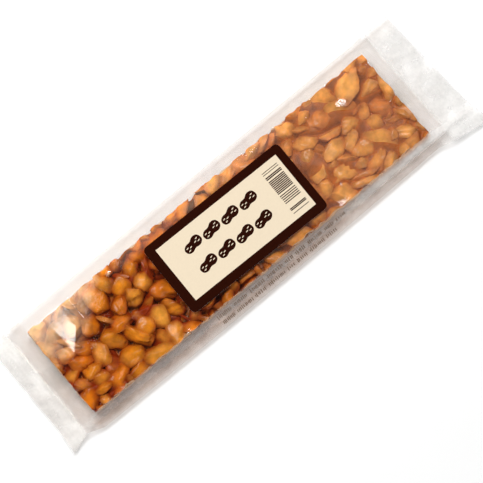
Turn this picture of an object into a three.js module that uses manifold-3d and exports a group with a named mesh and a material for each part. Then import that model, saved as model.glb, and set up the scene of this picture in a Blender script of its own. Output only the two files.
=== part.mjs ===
// A bar of peanut brittle sealed in a clear flow-wrap bag, with a paper label stuck on top.
// Millimetres, +Z up. X runs along the bar and Y across it, with the front at -Y.
// The origin lies under the middle of the pack, on the surface that the pack rests on.
import * as THREE from "three";
import { mergeVertices } from "three/addons/utils/BufferGeometryUtils.js";
import Module from "manifold-3d";

// The slab of brittle: cut straight on all four sides, its nuts standing proud of the caramel.
const BAR_LENGTH = 190;
const BAR_WIDTH = 45.6;
const CARAMEL_HEIGHT = 9.6;
const NUT_TOP = 11.2;
const SHOULDER_DROP = 0.5;

// Nuts: loose ellipsoids, scattered evenly and half sunk in the caramel.
const NUT_SEED = 20;
const NUT_SPACING = 7.4;
const NUT_DARTS = 6000;
const NUT_LENGTH = [10.5, 14.5];
const NUT_WIDTH = [6.8, 8.4];
const NUT_DEPTH = 6.4;
const NUT_RISE = [0.9, 1.5];
const NUT_TILT = 0.25;
const NUT_FACETS = 1;

// The film: a tube round the bar, drawn out to a crease along the front and the back.
// Between the bar and a crease the upper film bulges and the lower film stays near the ground.
const FRONT_MARGIN = 8.7;
const BACK_MARGIN = 5.6;
const FRONT_BOW = 0.8;
const BACK_BOW = 0.4;
const CREASE_HEIGHT = 3.4;
const SLOPE_BULGE = 0.5;
const SLOPE_UNDERSIDE = 0.85;
const EDGE_THICKNESS = 0.6;
const BODY_STEPS = 12;
const BAR_STEPS = 6;
const SECTION_LINES = BAR_STEPS + 5;
const TENT_STEPS = 3;

// The seals: the tube pressed flat past each end of the bar and ribbed by the sealing jaws.
// From the bar outwards come a tent and a seal, wider than the bar at the front and the back.
const SEAL_HEIGHT = 4.2;
const RIB_PITCH = 2.1;
const RIB_HEIGHT = 0.22;
const EAR_SHARE = 0.2;
const WAVES_ACROSS = 2.5;
const LEFT_SEAL = {
  side: -1, tent: 8.1, length: 8.4, front: 5.6, back: 6.4, slant: 0, ear: 1.3, droop: 1.6, wave: 0.45,
};
const RIGHT_SEAL = {
  side: 1, tent: 6.9, length: 13.2, front: 10.4, back: 6.8, slant: 3.4, ear: 2.2, droop: 2, wave: 0.6,
};

// The label: a stiff paper sticker that bridges the nuts on a flat patch of film.
const LABEL_LENGTH = 75.2;
const LABEL_WIDTH = 36;
const LABEL_THICKNESS = 0.4;
const LABEL_CORNER = 2.3;
const LABEL_CORNER_STEPS = 6;
const LABEL_OFFSET = { x: 3.1, y: -0.65 };
const LABEL_TURN = THREE.MathUtils.degToRad(-1.1);
const LABEL_GLUE = 0.1;
const PATCH_INSET = 0.8;

const BRITTLE_COLOUR = 0xc4762a;
const LABEL_COLOUR = 0xf6e6c8;

const wasm = await Module();
wasm.setup();

// Repeatable random numbers from 0 to 1.
function seededRandom(seed) {
  let state = seed;
  return () => {
    state = (state + 0x6d2b79f5) | 0;
    let mixed = Math.imul(state ^ (state >>> 15), 1 | state);
    mixed = (mixed + Math.imul(mixed ^ (mixed >>> 7), 61 | mixed)) ^ mixed;
    return ((mixed ^ (mixed >>> 14)) >>> 0) / 2 ** 32;
  };
}

function solidFrom(geometry) {
  const bare = geometry.clone();
  bare.deleteAttribute("normal");
  bare.deleteAttribute("uv");
  const merged = mergeVertices(bare);
  const vertProperties = merged.attributes.position.array;
  const triVerts = new Uint32Array(merged.index.array);
  return new wasm.Manifold(new wasm.Mesh({ numProp: 3, vertProperties, triVerts }));
}

function geometryFrom(solid) {
  const { vertProperties, triVerts } = solid.getMesh();
  const geometry = new THREE.BufferGeometry();
  geometry.setAttribute("position", new THREE.BufferAttribute(vertProperties, 3));
  geometry.setIndex(new THREE.BufferAttribute(triVerts, 1));
  geometry.computeVertexNormals();
  return geometry;
}

// A cross-section of the bag is a list of lines across it, from the front edge to the back edge.
// Each line has its place in plan and the heights of the upper and the lower film there.
function bodySection(x) {
  const bow = 1 - (2 * x / BAR_LENGTH) ** 2;
  const half = BAR_WIDTH / 2;
  const shoulder = CARAMEL_HEIGHT - SHOULDER_DROP;
  const crease = (y) => {
    return { x, y, upper: CREASE_HEIGHT + EDGE_THICKNESS / 2, lower: CREASE_HEIGHT - EDGE_THICKNESS / 2 };
  };
  const slope = (y) => {
    return { x, y, upper: (shoulder + CREASE_HEIGHT) / 2 + SLOPE_BULGE, lower: SLOPE_UNDERSIDE };
  };
  const bar = [];
  for (let i = 0; i <= BAR_STEPS; i += 1) {
    const onShoulder = i === 0 || i === BAR_STEPS;
    const y = THREE.MathUtils.lerp(-half, half, i / BAR_STEPS);
    bar.push({ x, y, upper: onShoulder ? shoulder : CARAMEL_HEIGHT, lower: 0 });
  }
  return [
    crease(-half - FRONT_MARGIN - FRONT_BOW * bow),
    slope(-half - FRONT_MARGIN / 2),
    ...bar,
    slope(half + BACK_MARGIN / 2),
    crease(half + BACK_MARGIN + BACK_BOW * bow),
  ];
}

// A cross-section of a seal, from its root at along = 0 to its cut edge at along = 1.
function sealSection(seal, along) {
  const section = [];
  for (let i = 0; i < SECTION_LINES; i += 1) {
    const across = i / (SECTION_LINES - 1);
    const y = THREE.MathUtils.lerp(-BAR_WIDTH / 2 - seal.front, BAR_WIDTH / 2 + seal.back, across);
    const ear = seal.ear * Math.max(0, 1 - across / EAR_SHARE);
    const reach = seal.length + seal.slant * (1 - across) + ear;
    const x = seal.side * (BAR_LENGTH / 2 + seal.tent + along * reach);
    const rib = RIB_HEIGHT * Math.cos((2 * Math.PI * along * seal.length) / RIB_PITCH);
    const wave = seal.wave * along * Math.sin(2 * Math.PI * WAVES_ACROSS * across);
    const middle = SEAL_HEIGHT - seal.droop * along + wave + rib;
    section.push({ x, y, upper: middle + EDGE_THICKNESS / 2, lower: middle - EDGE_THICKNESS / 2 });
  }
  return section;
}

function blendSections(from, to, share) {
  return from.map((line, i) => {
    const blended = {};
    for (const key of ["x", "y", "upper", "lower"]) {
      blended[key] = THREE.MathUtils.lerp(line[key], to[i][key], share);
    }
    return blended;
  });
}

// The sections from a bar's end out to the cut edge of the seal.
function endSections(seal) {
  const barEnd = bodySection((seal.side * BAR_LENGTH) / 2);
  const root = sealSection(seal, 0);
  const sections = [];
  for (let i = 1; i < TENT_STEPS; i += 1) sections.push(blendSections(barEnd, root, i / TENT_STEPS));
  const ribSteps = Math.round((2 * seal.length) / RIB_PITCH);
  for (let i = 0; i <= ribSteps; i += 1) sections.push(sealSection(seal, i / ribSteps));
  return sections;
}

// The closed bag: an upper and a lower film over the same plan, joined by a narrow rim all round.
function bagGeometry() {
  const body = [];
  for (let i = 0; i <= BODY_STEPS; i += 1) {
    body.push(bodySection(THREE.MathUtils.lerp(-BAR_LENGTH / 2, BAR_LENGTH / 2, i / BODY_STEPS)));
  }
  const sections = [...endSections(LEFT_SEAL).reverse(), ...body, ...endSections(RIGHT_SEAL)];
  const positions = [];
  for (const film of ["upper", "lower"]) {
    for (const section of sections) {
      for (const line of section) positions.push(line.x, line.y, line[film]);
    }
  }
  const upper = (s, l) => s * SECTION_LINES + l;
  const lower = (s, l) => (sections.length + s) * SECTION_LINES + l;
  const index = [];
  const quad = (a, b, c, d) => index.push(a, b, c, a, c, d);
  const lastSection = sections.length - 1;
  const lastLine = SECTION_LINES - 1;
  for (let s = 0; s < lastSection; s += 1) {
    for (let l = 0; l < lastLine; l += 1) {
      quad(upper(s, l), upper(s + 1, l), upper(s + 1, l + 1), upper(s, l + 1));
      quad(lower(s, l), lower(s, l + 1), lower(s + 1, l + 1), lower(s + 1, l));
    }
    quad(lower(s, 0), lower(s + 1, 0), upper(s + 1, 0), upper(s, 0));
    quad(upper(s, lastLine), upper(s + 1, lastLine), lower(s + 1, lastLine), lower(s, lastLine));
  }
  for (let l = 0; l < lastLine; l += 1) {
    quad(upper(0, l), upper(0, l + 1), lower(0, l + 1), lower(0, l));
    quad(lower(lastSection, l), lower(lastSection, l + 1), upper(lastSection, l + 1), upper(lastSection, l));
  }
  const geometry = new THREE.BufferGeometry();
  geometry.setAttribute("position", new THREE.Float32BufferAttribute(positions, 3));
  geometry.setIndex(index);
  return geometry;
}

// Darts thrown at the top of the bar: one that lands clear of the nuts before it becomes a nut.
function scatterNuts() {
  const random = seededRandom(NUT_SEED);
  const between = ([low, high]) => THREE.MathUtils.lerp(low, high, random());
  const nuts = [];
  for (let dart = 0; dart < NUT_DARTS; dart += 1) {
    const x = (random() - 0.5) * BAR_LENGTH;
    const y = (random() - 0.5) * BAR_WIDTH;
    if (nuts.some((nut) => Math.hypot(nut.x - x, nut.y - y) < NUT_SPACING)) continue;
    const turn = random() * Math.PI;
    const tilt = (2 * random() - 1) * NUT_TILT;
    const length = between(NUT_LENGTH);
    const width = between(NUT_WIDTH);
    const rise = between(NUT_RISE);
    nuts.push({ x, y, turn, tilt, length, width, rise });
  }
  return nuts;
}

function underLabel({ x, y }) {
  const alongLabel = Math.abs(x - LABEL_OFFSET.x) < LABEL_LENGTH / 2 - NUT_SPACING / 2;
  return alongLabel && Math.abs(y - LABEL_OFFSET.y) < LABEL_WIDTH / 2 - NUT_SPACING / 2;
}

function nutSolid(nut) {
  const geometry = new THREE.IcosahedronGeometry(1, NUT_FACETS);
  geometry.scale(nut.length / 2, nut.width / 2, NUT_DEPTH / 2);
  geometry.rotateY(nut.tilt);
  geometry.rotateZ(nut.turn);
  geometry.computeBoundingBox();
  geometry.translate(nut.x, nut.y, CARAMEL_HEIGHT + nut.rise - geometry.boundingBox.max.z);
  return solidFrom(geometry);
}

function block(length, width, low, high) {
  const geometry = new THREE.BoxGeometry(length, width, high - low);
  geometry.translate(0, 0, (low + high) / 2);
  return geometry;
}

// The flat patch of film, level with the tops of the nuts, that carries the label.
function labelPatch() {
  const length = LABEL_LENGTH - 2 * PATCH_INSET;
  const width = LABEL_WIDTH - 2 * PATCH_INSET;
  const patch = block(length, width, CARAMEL_HEIGHT / 2, NUT_TOP);
  patch.rotateZ(LABEL_TURN);
  patch.translate(LABEL_OFFSET.x, LABEL_OFFSET.y, 0);
  return solidFrom(patch);
}

// The bag drawn tight over the nuts, which end at the bar's cut sides.
function wrappedBarGeometry() {
  const nuts = scatterNuts().filter((nut) => !underLabel(nut)).map(nutSolid);
  const length = BAR_LENGTH - SHOULDER_DROP;
  const width = BAR_WIDTH - SHOULDER_DROP;
  const slab = solidFrom(block(length, width, CARAMEL_HEIGHT / 2, NUT_TOP));
  const topping = nuts.reduce((joined, nut) => joined.add(nut)).intersect(slab);
  return geometryFrom(solidFrom(bagGeometry()).add(topping).add(labelPatch()));
}

function labelGeometry() {
  const x = LABEL_LENGTH / 2 - LABEL_CORNER;
  const y = LABEL_WIDTH / 2 - LABEL_CORNER;
  const quarter = Math.PI / 2;
  const outline = new THREE.Shape();
  outline.absarc(x, y, LABEL_CORNER, 0, quarter);
  outline.absarc(-x, y, LABEL_CORNER, quarter, 2 * quarter);
  outline.absarc(-x, -y, LABEL_CORNER, 2 * quarter, 3 * quarter);
  outline.absarc(x, -y, LABEL_CORNER, 3 * quarter, 4 * quarter);
  return new THREE.ExtrudeGeometry(outline, {
    depth: LABEL_THICKNESS, bevelEnabled: false, curveSegments: LABEL_CORNER_STEPS,
  });
}

const wrappedBar = new THREE.Mesh(
  wrappedBarGeometry(),
  new THREE.MeshStandardMaterial({ color: BRITTLE_COLOUR, roughness: 0.25, metalness: 0 }),
);
wrappedBar.name = "wrapped_bar";

const label = new THREE.Mesh(
  labelGeometry(),
  new THREE.MeshStandardMaterial({ color: LABEL_COLOUR, roughness: 0.6, metalness: 0 }),
);
label.name = "label";
label.position.set(LABEL_OFFSET.x, LABEL_OFFSET.y, NUT_TOP + LABEL_GLUE);
label.rotation.z = LABEL_TURN;

// The seals differ in length and width, so the pack is moved until its own middle is at the origin.
const pack = new THREE.Group();
pack.add(wrappedBar, label);
const middle = new THREE.Box3().setFromObject(pack, true).getCenter(new THREE.Vector3());
pack.position.set(-middle.x, -middle.y, 0);

const part = new THREE.Group();
part.add(pack);

export default part;
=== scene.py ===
"""A bar of peanut brittle sealed in a clear flow-wrap bag, with a paper label on top.

The brittle is made as it is in a kitchen: nuts are poured and pressed into a slab, caramel fills
the gaps between them, and the slab is cut straight on four sides. The film is drawn over it.
Sizes are in millimetres from the middle of the bar: X along it, Y across to the back, Z up.
"""
import math
import bmesh
import bpy
import numpy as np
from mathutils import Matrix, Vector


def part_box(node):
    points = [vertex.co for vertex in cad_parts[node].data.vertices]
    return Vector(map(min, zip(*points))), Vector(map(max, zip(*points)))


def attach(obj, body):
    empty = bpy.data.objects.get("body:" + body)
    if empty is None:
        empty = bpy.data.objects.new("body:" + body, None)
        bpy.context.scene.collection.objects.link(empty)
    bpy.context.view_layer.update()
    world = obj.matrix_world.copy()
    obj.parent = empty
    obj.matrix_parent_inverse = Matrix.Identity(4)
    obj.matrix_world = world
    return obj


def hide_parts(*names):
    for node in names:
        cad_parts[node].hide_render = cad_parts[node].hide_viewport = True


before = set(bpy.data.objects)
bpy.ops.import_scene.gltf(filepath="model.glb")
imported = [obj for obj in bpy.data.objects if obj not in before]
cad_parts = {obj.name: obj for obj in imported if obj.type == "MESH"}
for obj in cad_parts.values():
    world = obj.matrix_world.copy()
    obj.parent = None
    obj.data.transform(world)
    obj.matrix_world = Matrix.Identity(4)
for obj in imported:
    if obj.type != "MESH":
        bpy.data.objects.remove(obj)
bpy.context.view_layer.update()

MM = 0.001
SEED = 34
FULL_TURN = 2 * math.pi

# Angles beyond which an edge looks sharp.
SHARP_NUT = math.radians(55)
SHARP_CARAMEL = math.radians(60)
SHARP_FILM = math.radians(35)
SHARP_PAPER = math.radians(40)

# The slab of brittle.
BAR_LENGTH = 190.0
BAR_WIDTH = 45.6
BAR_END = BAR_LENGTH / 2
BAR_SIDE = BAR_WIDTH / 2
BAR_FLOOR = 0.3
BAR_TOP = 10.8
CELL = 0.5
SLAB_MARGIN = 8.0
CUT_SPARE = 0.3
CUT_UNEVEN = 0.35
CUT_WAVELENGTH = 9.0
CUT_REACH = 5.0

# Nuts by kind: half lengths, share of the slab, rings and segments of the mesh, and how rough they are.
KINDS = {
    "whole": {
        "along": (5.4, 7.8), "across": (4.2, 5.3), "through": (0.78, 0.94), "share": 0.26, "mesh": (28, 40),
        "blunt": (2.1, 2.9), "taper": (0.0, 0.2), "lumps": 0.14, "breaks": 7, "depth": (0.08, 0.36),
    },
    "half": {
        "along": (5.8, 8.4), "across": (4.4, 5.5), "through": (0.6, 0.8), "share": 0.26, "mesh": (25, 36),
        "blunt": (2.3, 4.0), "taper": (0.0, 0.22), "lumps": 0.11, "breaks": 5, "depth": (0.06, 0.36),
    },
    "chip": {
        "along": (2.8, 4.6), "across": (2.2, 3.4), "through": (0.6, 0.9), "share": 0.025, "mesh": (16, 24),
        "lumps": 0.12, "breaks": 7, "depth": (0.15, 0.42),
    },
    "flake": {
        "along": (4.2, 6.6), "across": (1.3, 2.0), "through": (0.5, 0.8), "share": 0.006, "mesh": (14, 20),
        "lumps": 0.12, "breaks": 7, "depth": (0.15, 0.42),
    },
}
LUMP_FREQUENCIES = (1.6, 2.6, 4.2, 6.5)
LUMP_FADE = 0.6
BREAK_SOFTNESS = 0.008
GROOVE_DEPTHS = (0.02, 0.08)
GROOVE_WIDTH = 0.16
DOME_POWER = 0.8
SPLIT_BELOW = -0.05
HOLLOW_DEPTH = 0.07
HOLLOW_WIDTH = 0.28
FACE_CROWN = 0.05
HALF_BEND = 0.06

# Balls that stand for a nut while the nuts settle: place and radius as shares of its half lengths.
LONG_FEELERS = ((-0.52, 0, 0, 0.8), (0, 0, 0, 0.97), (0.52, 0, 0, 0.8))
FEELERS = {
    "whole": LONG_FEELERS,
    "flake": LONG_FEELERS,
    "half": (
        (-0.6, 0, 0.45, 0.42), (0.6, 0, 0.45, 0.42),
        (0, -0.5, 0.45, 0.46), (0, 0.5, 0.45, 0.46), (0, 0, 0.45, 0.55),
    ),
}
CHIP_FEELER = 0.9
FACES_UP = 0.72
FLIP_SPREAD = 0.6
TILT_SPREAD = 0.3
START_INSET = 2
RIGHT_GROWTH = 1.06
RELAX_STEPS = 260
NEIGHBOUR_STEPS = 8
NEIGHBOUR_GAP = 1.5
SHIFT_RATE = 0.4
SHIFT_LIMIT = 0.5
TURN_RATE = 0.5
TURN_LIMIT = 0.08

# Smaller nuts that are pressed into the gaps of the top layer.
GAP_NUTS = 130
GAP_KINDS = (("half", 0.9), ("whole", 0.8), ("chip", 1.0), ("whole", 0.85), ("half", 0.85), ("flake", 1.0))
GAP_LEVELS = (6.0, 6.8)
GAP_REACH = 1.6
GAP_TILT = 0.5
GAP_DROPS = (1.2, 0.1)

# Caramel: its level in the gaps rises from the left half to the right, between two places along the bar.
FULLER = (-45, 45)
POOL_LEVELS = (4.0, 8.2)
POOL_SWELL = 0.5
POOL_WAVELENGTH = 22
FILLET_BLUR = 0.9
FILLET_DROPS = (2.8, 1.4)
CARAMEL_DROP = 0.25
CARAMEL_INSET = 0.15
CARAMEL_CLEAR = 1.3
UNDER_REACH = 2.5
UNDER_BLUR = 0.8
UNDER_RISE = 0.25
UNDER_LIMIT = 1.2

# The film. Its front and back margins follow the photograph.
FRONT_MARGIN = 7.1
BACK_MARGIN = 6.4
FRONT_BOW = 0.9
BACK_BOW = 0.4
CREASE_HEIGHT = 2.7
SLOPE_BULGE = 0.5
FILM_GAP = 0.42
FILM_HALF = 0.06
BASE_FILM = 0.14
DRAPE_REACH = 12.0
DRAPE_BLUR = 4.0
LABEL_PULL = (-0.5, 14.0)
LABEL_GLUE = 0.08
SEAL_HEIGHT = 4.2
SEAL_FLARES = (1.8, 1.2)
RIB_PITCH = 2.1
RIB_HEIGHT = 0.004
CRUMPLE_LENGTH = 7.0
EAR_SHARE = 0.2
WAVES_ACROSS = 2.5
RIB_START = 0.2
CRUMPLE_START = 0.3
LEFT_SEAL = {
    "side": -1, "tent": 8.1, "length": 8.4, "front": 5.6, "back": 6.4,
    "slant": 0.0, "ear": 1.3, "droop": 1.6, "wave": 0.22, "crumple": 0.035,
}
RIGHT_SEAL = {
    "side": 1, "tent": 6.9, "length": 13.2, "front": 10.4, "back": 6.8,
    "slant": 3.4, "ear": 2.2, "droop": 2.0, "wave": 0.32, "crumple": 0.03,
}
PLEATS = (14, 31)
SECOND_PLEATS = 0.7
PLEAT_HEIGHT = 0.35
TENT_CURVE = 1.6

# Creases of the film: middle, heading, half length, half width and height of each.
MARGIN_CREASES = (
    ((72, -28.6), math.radians(-1.5), 34, 0.5, 0.45),
    ((0, 27.0), math.radians(0.3), 90, 0.45, 0.3),
)
GLINTS = (
    ((73.4, 10.6), math.radians(-40), 1.7, 1.5, 0.32),
    ((43.7, 21.6), math.radians(-20), 0.8, 0.9, 0.18),
    ((-51.3, 19.3), math.radians(40), 0.8, 0.9, 0.2),
    ((50.8, -15.9), math.radians(20), 0.6, 0.7, 0.15),
)
WRINKLE_HEIGHT = 0.025
WRINKLE_LENGTH = 11
LOOSE_CREASES = 6
LOOSE_SPAN = (95, 14)
LOOSE_LENGTHS = (4, 12)
LOOSE_WIDTHS = (1.2, 2.4)
LOOSE_HEIGHTS = (0.015, 0.04)

# A fold in the film near the left end, which catches the light.
KITE_SLOPE = math.radians(9)
KITE_UNEVEN = 0.02
KITE_SOFT = 0.7
KITE_WAVELENGTH = 6.0
KITE_LEFT = -86.0
KITE_RIGHT = -76.4
KITE_TIP = 0.8
KITE_FALL = 6.5
KITE_FADE = 2.5
KITE_FRONT = 1.0
KITE_BEND = 10.5
KITE_DULL = (12.0, 19.5)

# The label: a dark border round a cream panel, turned a little against the bar.
LABEL_LENGTH = 75.2
LABEL_WIDTH = 36.0
LABEL_CORNER = 2.3
LABEL_OFFSET = (3.1, -0.65)
LABEL_TURN = math.radians(-1.1)
LABEL_BASE = 11.36
LABEL_LIFT = 0.1
LABEL_SAG = 0.05
SAG_LENGTHS = (6.1, 5.2, 13.0, 9.0)
SAG_PHASE = 0.7
LABEL_CURL = 0.1
CURL_POWERS = (8, 4)
LABEL_THICKNESS = 0.14
LABEL_SPACING = 0.8
PANEL = {"left": -33.2, "right": 33.8, "front": -13.8, "back": 14.2}

# The camera, and where the middle of the bar is in its picture.
PICTURE_WIDTH = 483
PIXEL = 0.434
BAR_PIXEL = (229.1, 231.7)
AZIMUTH = math.radians(-40.1)
ELEVATION = math.radians(82)
CAMERA_DISTANCE = 1500.0
SENSOR_WIDTH = 36.0

label_low, label_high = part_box("label")
label_middle = (label_low + label_high) / 2
BAR_MIDDLE = Vector((label_middle.x - LABEL_OFFSET[0] * MM, label_middle.y - LABEL_OFFSET[1] * MM, 0))


# Small helpers

def smooth_step(low, high, value):
    share = np.clip((value - low) / (high - low), 0, 1)
    return share * share * (3 - 2 * share)


def beyond(limit, reach, value):
    """0 up to a limit, then rising to 1 over that reach."""
    return smooth_step(limit, limit + reach, value)


def mix(a, b, share):
    return a + (b - a) * share


def turned(along, across, turn):
    """Places in a plane, turned about its origin."""
    return along * math.cos(turn) - across * math.sin(turn), along * math.sin(turn) + across * math.cos(turn)


def part_frame(points):
    """Points in millimetres from the bar's middle, as metres in the part's own frame."""
    return np.asarray(points) * MM + np.array(BAR_MIDDLE)


def make_piece(name, points, faces, materials):
    """A smooth piece of that name from points and faces."""
    mesh = bpy.data.meshes.new(name)
    mesh.from_pydata(part_frame(points).tolist(), [], faces.tolist(), shade_flat=False)
    for material in materials:
        mesh.materials.append(material)
    piece = bpy.data.objects.new(name, mesh)
    bpy.context.scene.collection.objects.link(piece)
    return piece


def add_colour(piece, name, colours):
    attribute = piece.data.attributes.new(name, "FLOAT_COLOR", "POINT")
    rgba = np.ones((len(colours), 4), np.float32)
    rgba[:, :3] = colours
    attribute.data.foreach_set("color", rgba.ravel())


def add_value(piece, name, values):
    attribute = piece.data.attributes.new(name, "FLOAT", "POINT")
    attribute.data.foreach_set("value", np.asarray(values, np.float32))


def slab_faces(rows, columns):
    """Quads of a closed slab between two grids of points: its top, its bottom and its rim."""
    count = rows * columns
    index = np.arange(count).reshape(rows, columns)
    corners = [index[:-1, :-1], index[1:, :-1], index[1:, 1:], index[:-1, 1:]]
    top = np.stack([corner.ravel() for corner in corners], -1)
    around = np.concatenate([index[:-1, 0], index[-1, :-1], index[:0:-1, -1], index[0, :0:-1]])
    after = np.roll(around, -1)
    rim = np.stack([after, around, around + count, after + count], -1)
    return top, top[:, ::-1] + count, rim


def ripple(x, y, wavelength, rng, waves=7):
    """A gentle uneven swell of height about 1 in all directions."""
    total = np.zeros(np.broadcast(x, y).shape)
    for _ in range(waves):
        heading = rng.uniform(0, FULL_TURN)
        number = FULL_TURN / (wavelength * rng.uniform(0.7, 1.5))
        phase = rng.uniform(0, FULL_TURN)
        total = total + np.sin(number * (x * np.cos(heading) + y * np.sin(heading)) + phase)
    return total / math.sqrt(waves / 2)


# Nuts

def globe(rings, segments):
    """Directions all round from a point, with the poles on Z, and the triangles between them."""
    polar = np.linspace(0, np.pi, rings + 1)[1:-1, None]
    turn = np.arange(segments)[None, :] * 2 * np.pi / segments
    level = np.cos(polar) + 0 * turn
    around = np.stack([np.sin(polar) * np.cos(turn), np.sin(polar) * np.sin(turn), level], -1)
    points = np.vstack([[[0, 0, 1]], around.reshape(-1, 3), [[0, 0, -1]]])
    ring = 1 + np.arange((rings - 1) * segments).reshape(rings - 1, segments)
    after = np.roll(ring, -1, axis=1)
    first = np.zeros(segments, int)
    last = np.full(segments, len(points) - 1)
    faces = [np.stack([first, ring[0], after[0]], -1), np.stack([last, after[-1], ring[-1]], -1)]
    a, b, c, d = ring[:-1].ravel(), ring[1:].ravel(), after[1:].ravel(), after[:-1].ravel()
    faces += [np.stack([a, b, c], -1), np.stack([a, c, d], -1)]
    return points, np.vstack(faces)


GLOBES = {kind: globe(*rule["mesh"]) for kind, rule in KINDS.items()}


def lumps(directions, depth, rng):
    """An uneven swelling, as a factor on each point."""
    factor = np.ones(len(directions))
    for frequency in LUMP_FREQUENCIES:
        heading = rng.normal(size=3)
        heading *= frequency / np.linalg.norm(heading)
        wave = np.sin(directions @ heading * 2 + rng.uniform(0, FULL_TURN))
        factor += depth / frequency ** LUMP_FADE * wave
    return factor


def blunt(directions, power):
    """Directions all round as points on a form along X with blunter ends than a ball."""
    around = np.hypot(directions[:, 1], directions[:, 2])
    reach = (np.abs(directions[:, 0]) ** power + around ** power) ** (-1 / power)
    return directions * reach[:, None]


def break_off(shape, breaks, depth, rng):
    """Flattens a form at a few places, with a narrow round edge at each flat."""
    for _ in range(breaks):
        heading = rng.normal(size=3)
        heading /= np.linalg.norm(heading)
        height = shape @ heading
        limit = height.max() * (1 - rng.uniform(*depth))
        over = BREAK_SOFTNESS * np.logaddexp(0, (height - limit) / BREAK_SOFTNESS)
        shape = shape - over[:, None] * heading
    return shape


def whole_form(directions, rule, rng):
    """A whole kernel: blunt and egg-shaped, with a groove where its halves meet."""
    x, _, z = directions.T
    shape = blunt(directions, rng.uniform(*rule["blunt"]))
    girth = 1 - rng.uniform(*rule["taper"]) * x
    groove = 1 - rng.uniform(*GROOVE_DEPTHS) * np.exp(-((z / GROOVE_WIDTH) ** 2)) * (1 - x ** 2)
    return shape * np.stack([np.ones(len(x)), girth * groove, girth], -1)


def half_form(directions, rule, rng):
    """A split kernel: a dome over a flat face that has a shallow hollow along it."""
    x, y, z = directions.T
    outline = blunt(directions, rng.uniform(*rule["blunt"]))
    taper = 1 - rng.uniform(*rule["taper"]) * x
    dome = np.clip(z, 0, 1) ** DOME_POWER
    below = z < SPLIT_BELOW
    hollow = HOLLOW_DEPTH * np.exp(-((y / HOLLOW_WIDTH) ** 2)) * (1 - x ** 2) * below
    crown = FACE_CROWN * below * np.clip(1 - x ** 2 - y ** 2, 0, 1)
    bend = HALF_BEND * rng.normal() * x ** 2
    return np.stack([outline[:, 0], outline[:, 1] * taper + bend, dome + hollow - crown], -1)


def nut_shape(kind, size, rng):
    """One nut about its own middle. A chip or flake is a plain lump with flat breaks on most sides."""
    rule = KINDS[kind]
    form = directions = GLOBES[kind][0]
    if kind == "whole":
        directions = directions[:, [2, 0, 1]]
        form = whole_form(directions, rule, rng)
    if kind == "half":
        form = half_form(directions, rule, rng)
    form = form * lumps(directions, rule["lumps"], rng)[:, None]
    return break_off(form, rule["breaks"], rule["depth"], rng) * size


def rotation(axis_angle):
    """Rotation matrices from turn vectors, one for each row."""
    angle = np.linalg.norm(axis_angle, axis=1)
    axis = axis_angle / np.maximum(angle, 1e-9)[:, None]
    x, y, z = axis.T
    zero = np.zeros_like(x)
    cross = np.stack([zero, -z, y, z, zero, -x, -y, x, zero], -1).reshape(-1, 3, 3)
    sine = np.sin(angle)[:, None, None]
    versine = (1 - np.cos(angle))[:, None, None]
    return np.eye(3) + sine * cross + versine * (cross @ cross)


def about(axis, angles):
    """Rotation matrices about one axis, one for each angle."""
    turns = np.zeros((len(angles), 3))
    turns[:, axis] = angles
    return rotation(turns)


def feelers(kind, size):
    """The few balls that stand for a nut while the nuts settle: places and radii."""
    if kind == "chip":
        return np.zeros((1, 3)), [CHIP_FEELER * (size[0] * size[1] * size[2]) ** (1 / 3)]
    balls = np.array(FEELERS[kind])
    return balls[:, :3] * size, balls[:, 3] * (size[2] if kind == "half" else size[1])


def draw_size(kind, rng):
    """Half lengths of one nut: along, across and through it."""
    rule = KINDS[kind]
    across = rng.uniform(*rule["across"])
    return np.array([rng.uniform(*rule["along"]), across, across * rng.uniform(*rule["through"])])


def draw_nuts(rng):
    """Kinds, sizes, first places and first turns of the nuts, enough to fill the slab."""
    length = BAR_LENGTH + 2 * SLAB_MARGIN
    width = BAR_WIDTH + 2 * SLAB_MARGIN
    room = length * width * (BAR_TOP - BAR_FLOOR)
    kinds, sizes = [], []
    for kind, rule in KINDS.items():
        filled = 0.0
        while filled < rule["share"] * room:
            size = draw_size(kind, rng)
            kinds.append(kind)
            sizes.append(size)
            filled += np.prod(size) * (2 / 3 if kind == "half" else 4 / 3) * math.pi
    count = len(kinds)
    places = np.stack([
        rng.uniform(-length / 2, length / 2, count),
        rng.uniform(-width / 2, width / 2, count),
        rng.uniform(BAR_FLOOR + START_INSET, BAR_TOP - START_INSET, count),
    ], -1)
    grown = mix(1, RIGHT_GROWTH, smooth_step(*FULLER, places[:, 0]))
    kept = rng.random(count) < grown ** -3
    kinds = np.array(kinds)[kept]
    sizes = (np.array(sizes) * grown[:, None])[kept]
    places = places[kept]
    count = len(kinds)
    flip = about(0, np.where(rng.random(count) < FACES_UP, math.pi, 0) + rng.normal(0, FLIP_SPREAD, count))
    tilt = about(1, rng.normal(0, TILT_SPREAD, count))
    spin = about(2, rng.uniform(0, FULL_TURN, count))
    return kinds, sizes, places, spin @ tilt @ flip


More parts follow.
